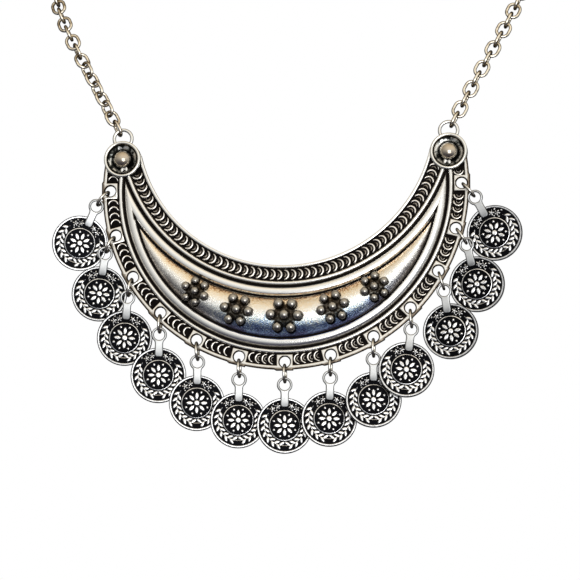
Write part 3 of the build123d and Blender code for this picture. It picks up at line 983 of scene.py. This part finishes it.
def bow_part(bow):
    """A bow with its back towards +y."""
    verts, values = [], []
    half = radians(bow.spread)
    for a in np.radians(np.linspace(-bow.spread, bow.spread, BOW_STEPS)):
        here = bow.tail + (bow.width - bow.tail) * cos(a / half * np.pi / 2)
        taper = min(1.0, 0.25 + (half - abs(a)) * 3)
        # Painted shade: the tail towards the arcs' centre is dimmer
        lit = 1 - bow.dim * float(smooth(0.3, -0.9, sin(a)))
        for share in np.linspace(0, 1, BOW_SIDE_STEPS):
            out = bow.radius - here * share
            high = sin(np.pi * share) ** 0.4
            level = FLOOR - 0.03 + bow.rise * taper * high
            verts.append((out * sin(a), bow.centre + out * cos(a), level))
            values.append(float(smooth(0.0, 0.6, high)) * bow.polish * lit)
    return np.array(verts), grid(BOW_STEPS, BOW_SIDE_STEPS), np.array(values)


def scale_item(name, bows):
    """A scale made of bows, in metres, facing +z."""
    verts, faces, polish = joined([bow_part(bow) for bow in bows])
    return new_object(name, verts * MM, faces, [SCALES], {"polish": polish})


def face_point(x, y, z=0.0):
    """Matrix that moves the origin to a point on the bib's face."""
    return Matrix.Translation(Vector((x, -BIB_FORWARD - z, y - BIB_DROP)) * MM)


def face_matrix(angle, radius, centre_y, turn=0.0):
    """Place on the bib's face with x out from the centre and y along the arc to the right."""
    a = radians(angle)
    axes = Matrix(((sin(a), cos(a), 0), (0, 0, -1), (-cos(a), sin(a), 0))).to_4x4()
    at = face_point(radius * sin(a), centre_y - radius * cos(a))
    return at @ axes @ Matrix.Rotation(radians(turn), 4, "Z")


inner_row = INNER_EDGE + INNER_RIM + INNER_ROW / 2 + 0.22
inner_half = INNER_END - degrees(atan2(BOSS_R, inner_row))
inner_count = int(radians(2 * inner_half) * inner_row / INNER_PITCH)
inner_angles = np.linspace(-inner_half, inner_half, inner_count)
inner_places = [(face_matrix(a, inner_row, SHIFT), 1.0) for a in inner_angles]

outer_row = OUTER_EDGE - OUTER_RIM - OUTER_ROW / 2
bay = (SCALES_IN_BAY - 1) * degrees(OUTER_PITCH / outer_row)
end_turn = degrees((PAD_ALONG + OUTER_PITCH) / 2 / outer_row)
outer_angles = [pad_angles[0] - end_turn, pad_angles[-1] + end_turn]
for k in range(PADS - 1):
    middle = (pad_angles[k] + pad_angles[k + 1]) / 2
    outer_angles += list(np.linspace(middle - bay / 2, middle + bay / 2, SCALES_IN_BAY))
plain_bays, double_bays = [], []
for a in outer_angles:
    bays = plain_bays if a < DOUBLE_FROM else double_bays
    bays.append((face_matrix(a, outer_row, 0, 180), 1.0))

crescent = scale_item("scale_crescent", CRESCENT)
single = scale_item("scale_single", SINGLE)
double = scale_item("scale_double", DOUBLE)
for name, item, places, seed in (
    ("bib_inner_scales", crescent, inner_places, 3),
    ("bib_outer_scales_a", single, plain_bays, 5),
    ("bib_outer_scales_b", double, double_bays, 7),
):
    bib_piece(repeated(name, item, places, SCALES, SCALE_UNEVENNESS, seed))


def ball_item(name):
    """A ball of radius 1 mm, in metres, brighter towards +z."""
    verts, polish = [], []
    for i in range(GRANULE_RINGS + 1):
        a = np.pi * (i / GRANULE_RINGS - 0.5)
        for j in range(GRANULE_AROUND):
            b = 2 * np.pi * j / GRANULE_AROUND
            verts.append((cos(a) * cos(b), cos(a) * sin(b), sin(a)))
            polish.append(0.25 + 0.6 * float(smooth(0.1, 0.85, sin(a))))
    faces = grid(GRANULE_RINGS + 1, GRANULE_AROUND, wrap=True)
    return new_object(name, np.array(verts) * MM, faces, [GRANULES], {"polish": polish})


granule = ball_item("granule")
forward = Matrix.Rotation(radians(90), 4, "X")
ball_places = []
for cluster, spots in zip(CLUSTERS, cluster_spots):
    for x, y in spots:
        level = FLOOR + cluster.ball_r - BALL_SUNK + dome_at(x, y)
        ball_places.append((face_point(x, y, level) @ forward, cluster.ball_r * GRANULE_SIZE))
bib_piece(repeated("bib_granules", granule, ball_places, GRANULES, GRANULE_UNEVENNESS, 11))

for item in (crescent, single, double, granule):
    mesh = item.data
    bpy.data.objects.remove(item)
    bpy.data.meshes.remove(mesh)


# ---- Coin charms ----


def coin_relief(x, y):
    """Height from 0 to 1 of the relief on a coin, about its middle: rosette, leaves and dots."""
    radius = np.hypot(x, y)
    high = np.zeros_like(x)

    def add(depth, edge, top=1.0):
        """Raises a shape whose depth inside its outline is given, with a round edge."""
        t = np.clip(depth / edge, 0, 1)
        np.maximum(high, top * np.sqrt(1 - (1 - t) ** 2), out=high)

    def around(count, centre_r, start, step):
        """Local x and y about each of a ring of places, x out and y along."""
        for k in range(count):
            a = radians(start + k * step)
            dx, dy = x - centre_r * sin(a), y - centre_r * cos(a)
            yield dx * sin(a) + dy * cos(a), dx * cos(a) - dy * sin(a)

    # Raised rim, ring round the rosette, and the rosette's button with its dimple
    add(radius - (COIN_R - 0.74), 0.2)
    add(0.17 - np.abs(radius - 4.55), 0.12, 0.85)
    add(0.85 - radius, 0.45)
    high -= 0.6 * np.clip(1 - radius / 0.25, 0, 1)
    # Petals with a groove, and dots between them
    for u, v in around(8, 2.2, 0, 45):
        petal = 0.56 * (1 - (u / 1.15) ** 2) - np.abs(v)
        add(petal, 0.3)
        high -= 0.55 * np.clip(1 - np.abs(v) / 0.1, 0, 1) * (np.abs(u) < 0.6) * (petal > 0)
    for u, v in around(8, 3.5, 22.5, 45):
        add(0.36 - np.hypot(u, v), 0.25, 0.95)
    # The stem of both sprays of leaves
    stem = 0.1 - np.abs(radius - 6.15)
    add(np.where(np.abs(np.degrees(np.arctan2(x, y))) > 52, stem, -1), 0.08, 0.8)
    for side in (-1, 1):
        # Leaves outside and inside the stem
        for out, turn, start in ((0.62, 38, 8), (-0.62, -38, 0)):
            for u, v in around(7, 6.15 + out, side * (172 - start), -side * 16.5):
                lean = radians(side * turn)
                along = v * cos(lean) + u * sin(lean)
                across = -v * sin(lean) + u * cos(lean)
                add(0.42 * (1 - (along / 1.02) ** 2) - np.abs(across), 0.26)
        # Small flowers with a dimple, and dots outside and inside them
        for u, v in around(2, 6.2, side * 19, side * 17):
            far, bearing = np.hypot(u, v), np.arctan2(u, v)
            add(0.98 * (0.62 + 0.38 * np.cos(5 * bearing)) - far, 0.3)
            high -= 0.7 * np.clip(1 - far / 0.28, 0, 1)
        for centre_r, start, dot_r in ((7.3, 28, 0.26), (5.2, 27, 0.24)):
            for u, v in around(2, centre_r, side * start, side * 17):
                add(dot_r - np.hypot(u, v), 0.2, 0.9)
    return np.clip(high, 0, 1)


def coin_mesh():
    """A struck coin on a polar grid with its relief, edge and plain back."""
    field = np.linspace(0.0, COIN_R - COIN_RIM, FIELD_RINGS)[1:]
    rim = COIN_R - COIN_RIM * (1 - np.linspace(0, 1, RIM_RINGS + 1)[1:]) ** 1.2
    radii = np.concatenate([field, rim])
    a = np.linspace(0, 2 * np.pi, COIN_AROUND, endpoint=False)
    x, y = radii[:, None] * np.sin(a), radii[:, None] * np.cos(a)
    high = coin_relief(x, y)
    from_edge = COIN_R - radii
    z = COIN_FACE + RELIEF * high * (0.45 + 0.55 * smooth(0.0, 0.2, from_edge)[:, None])
    verts = [np.stack([x, y, z], -1).reshape(-1, 3)]
    # The rim is dimmer than the relief, and painted shade darkens its outer edge more
    dimmed = 0.3 + 0.4 * smooth(0.12, 0.36, from_edge) + 0.3 * smooth(0.6, 0.75, from_edge)
    polish = [(smooth(0.12, 0.6, high) * dimmed[:, None]).reshape(-1)]
    # Rings of the edge and the back: radius, level and polish
    back_rings = (
        (COIN_R, COIN_FACE - 0.1, 0.45),
        (COIN_R, COIN_BACK + 0.15, 0.45),
        (COIN_R - 0.15, COIN_BACK, 0.7),
        (COIN_R * 0.5, COIN_BACK, 0.6),
    )
    for radius, level, value in back_rings:
        ring = [radius * np.sin(a), radius * np.cos(a), np.full(COIN_AROUND, level)]
        verts.append(np.column_stack(ring))
        polish.append(np.full(COIN_AROUND, value))
    rows = len(radii) + len(back_rings)
    faces = [tuple(f) for f in grid(rows, COIN_AROUND, wrap=True)]
    verts.append(np.array([[0, 0, COIN_FACE + RELIEF], [0, 0, COIN_BACK]]))
    polish.append(np.array([1.0, 0.6]))
    top, bottom, last = rows * COIN_AROUND, rows * COIN_AROUND + 1, (rows - 1) * COIN_AROUND
    for k in range(COIN_AROUND):
        faces.append((top, (k + 1) % COIN_AROUND, k))
        faces.append((bottom, last + k, last + (k + 1) % COIN_AROUND))
    verts = np.vstack(verts)
    verts[:, 1] -= COIN_DROP
    return verts, faces, np.concatenate(polish)


def bail_outline():
    """The bail from above: a round eye, a waist and a blunt tongue."""
    angles = np.linspace(-142, 142, 41)
    eye = [(BAIL_R * sin(radians(a)), BAIL_R * cos(radians(a))) for a in angles]
    right = [(1.28, -2.35), (1.25, -3.0), (1.3, -5.0), (1.33, -6.0), (1.2, -6.45)]
    right += [(0.95, -6.75), (0.6, -6.9)]
    return eye + right + [(-x, y) for x, y in right[::-1]]


def bail_mesh():
    """The bail as a plate with softly rounded edges in painted shade, dimmer towards its tongue.
    """
    outlines = [bail_outline(), circle(0, 0, BAIL_HOLE, 36)]
    verts, faces = plate(outlines, -BAIL_HALF, BAIL_HALF, 0.4, "bail")
    # Painted shade: the rounded edges darker than the flat top
    front = 0.3 + 0.5 * smooth(0.3, 0.45, verts[:, 2])
    front *= 1 - 0.42 * smooth(-3.4, -6.8, verts[:, 1])
    return verts, faces, with_back(verts, front)


def node_points(name):
    """The points of a CAD node in millimetres."""
    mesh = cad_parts[name].data
    points = np.empty(len(mesh.vertices) * 3)
    mesh.vertices.foreach_get("co", points)
    return np.unique(np.round(points.reshape(-1, 3) / MM, 4), axis=0)


def charm_place(points):
    """Axes and origin of a charm, read from its node.

    Its back is a flat disc, found in two passes, and its eye lies farthest out.
    """
    normal = np.linalg.svd(points - points.mean(0))[2][2]
    normal *= -np.sign(normal[1])
    for band in (0.5, 0.05):
        depth = points @ normal
        back = points[depth < depth.min() + band]
        fitted = np.linalg.svd(back - back.mean(0))[2][2]
        normal = fitted * -np.sign(fitted[1])
    centre = (back.max(0) + back.min(0)) / 2
    centre = back[np.linalg.norm(back - centre, axis=1) > COIN_R - 0.1].mean(0)
    flat = points - centre
    flat = flat - np.outer(flat @ normal, normal)
    up = flat[np.linalg.norm(flat, axis=1) > COIN_R + 1.5].mean(0)
    up /= np.linalg.norm(up)
    axes = np.column_stack([np.cross(up, normal), up, normal])
    return axes, centre + up * COIN_DROP - normal * COIN_BACK


coin_part, bail_part = coin_mesh(), bail_mesh()
charm_verts, faces, polish = joined([coin_part, bail_part])
slots = [0] * len(coin_part[1]) + [1] * len(bail_part[1])
for number in range(1, PADS + 1):
    node = f"coin_charm_{number:02d}"
    axes, origin = charm_place(node_points(node))
    verts = (charm_verts @ axes.T + origin) * MM
    name = f"charm_{number:02d}"
    charm = new_object(name, verts, faces, [COIN, BAIL], {"polish": polish}, 50, slots)
    piece(charm, "coin_silver", node)

# Jump rings, chains and clasp keep their round wire
for name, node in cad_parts.items():
    if name.startswith(("jump_ring", "chain", "clasp")):
        node.data.materials.clear()
        node.data.materials.append(RING if name.startswith("jump_ring") else WIRE)


# ---- Light, floor and camera ----

# Tones of the studio by direction, multiplied together, with a white ground in view
TONES = {
    "Z": [
        (0.0, (0.07, 0.065, 0.085)),
        (0.12, (0.12, 0.12, 0.15)),
        (0.25, (0.27, 0.28, 0.31)),
        (0.4, (0.58, 0.59, 0.59)),
        (0.5, (0.80, 0.80, 0.79)),
        (0.59, (0.98, 0.97, 0.94)),
        (0.72, (1.1, 1.05, 0.95)),
        (0.87, (1.1, 1.0, 0.84)),
        (1.0, (1.0, 0.86, 0.66)),
    ],
    "X": [
        (0.0, (0.5, 0.49, 0.48)),
        (0.42, (0.95, 0.95, 0.95)),
        (1.0, (1.1, 1.1, 1.1)),
    ],
    "Y": [
        (0.0, (1.0, 1.0, 1.0)),
        (0.4, (0.85, 0.85, 0.85)),
        (0.7, (0.4, 0.39, 0.37)),
        (1.0, (0.3, 0.29, 0.27)),
    ],
}
world = bpy.data.worlds.new("studio")
bpy.context.scene.world = world
world.use_nodes = True
studio = world.node_tree
split = studio.nodes.new("ShaderNodeSeparateXYZ")
way = studio.nodes.new("ShaderNodeTexCoord").outputs["Generated"]
studio.links.new(way, split.inputs[0])
tones = []
for axis, stops in TONES.items():
    tones.append(ramp(studio, ranged(studio, split.outputs[axis], start=-1.0), stops))
tone = mixed(studio, mixed(studio, tones[0], tones[1]), tones[2])
in_view = studio.nodes.new("ShaderNodeLightPath").outputs["Is Camera Ray"]
ground = mixed(studio, tone, (1, 1, 1, 1), in_view, "MIX")
studio.links.new(ground, studio.nodes["Background"].inputs["Color"])

# Pale floor well below the hanging necklace, which the metal doesn't mirror
pale = bpy.data.materials.new("pale_floor")
pale.use_nodes = True
pale_shader = pale.node_tree.nodes["Principled BSDF"]
pale_shader.inputs["Base Color"].default_value = (0.8, 0.86, 0.97, 1)
pale_shader.inputs["Roughness"].default_value = 0.8
floor_mesh = bpy.data.meshes.new("floor")
corners = [(x * FLOOR_HALF, y * FLOOR_HALF) for x, y in ((-1, -1), (1, -1), (1, 1), (-1, 1))]
floor_mesh.from_pydata([(x, y, FLOOR_LEVEL) for x, y in corners], [], [(0, 1, 2, 3)])
floor_mesh.materials.append(pale)
floor = bpy.data.objects.new("floor", floor_mesh)
floor.visible_glossy = False
floor.visible_diffuse = False
bpy.context.scene.collection.objects.link(floor)


def aimed(name, data, offset):
    """An object at an offset from the middle of the view, turned to look at it."""
    obj = bpy.data.objects.new(name, data)
    obj.location = MIDDLE + offset
    obj.rotation_euler = (MIDDLE - obj.location).to_track_quat("-Z", "Y").to_euler()
    bpy.context.scene.collection.objects.link(obj)
    return obj


# A soft box for a window
window = bpy.data.lights.new("window", "AREA")
window.shape = "RECTANGLE"
window.size, window.size_y = WINDOW_SIZE
window.energy = WINDOW_RADIANCE * np.pi * WINDOW_SIZE[0] * WINDOW_SIZE[1]
aimed("window", window, WINDOW_DISTANCE * Vector(WINDOW_WAY).normalized())

lens = bpy.data.cameras.new("camera")
lens.lens = LENS
lens.sensor_width = SENSOR
az, el = radians(AZIMUTH), radians(ELEVATION)
away = Vector((sin(az) * cos(el), -cos(az) * cos(el), sin(el)))
bpy.context.scene.camera = aimed("camera", lens, VIEW_WIDTH * LENS / SENSOR * away)
bpy.context.scene.view_settings.view_transform = "Standard"
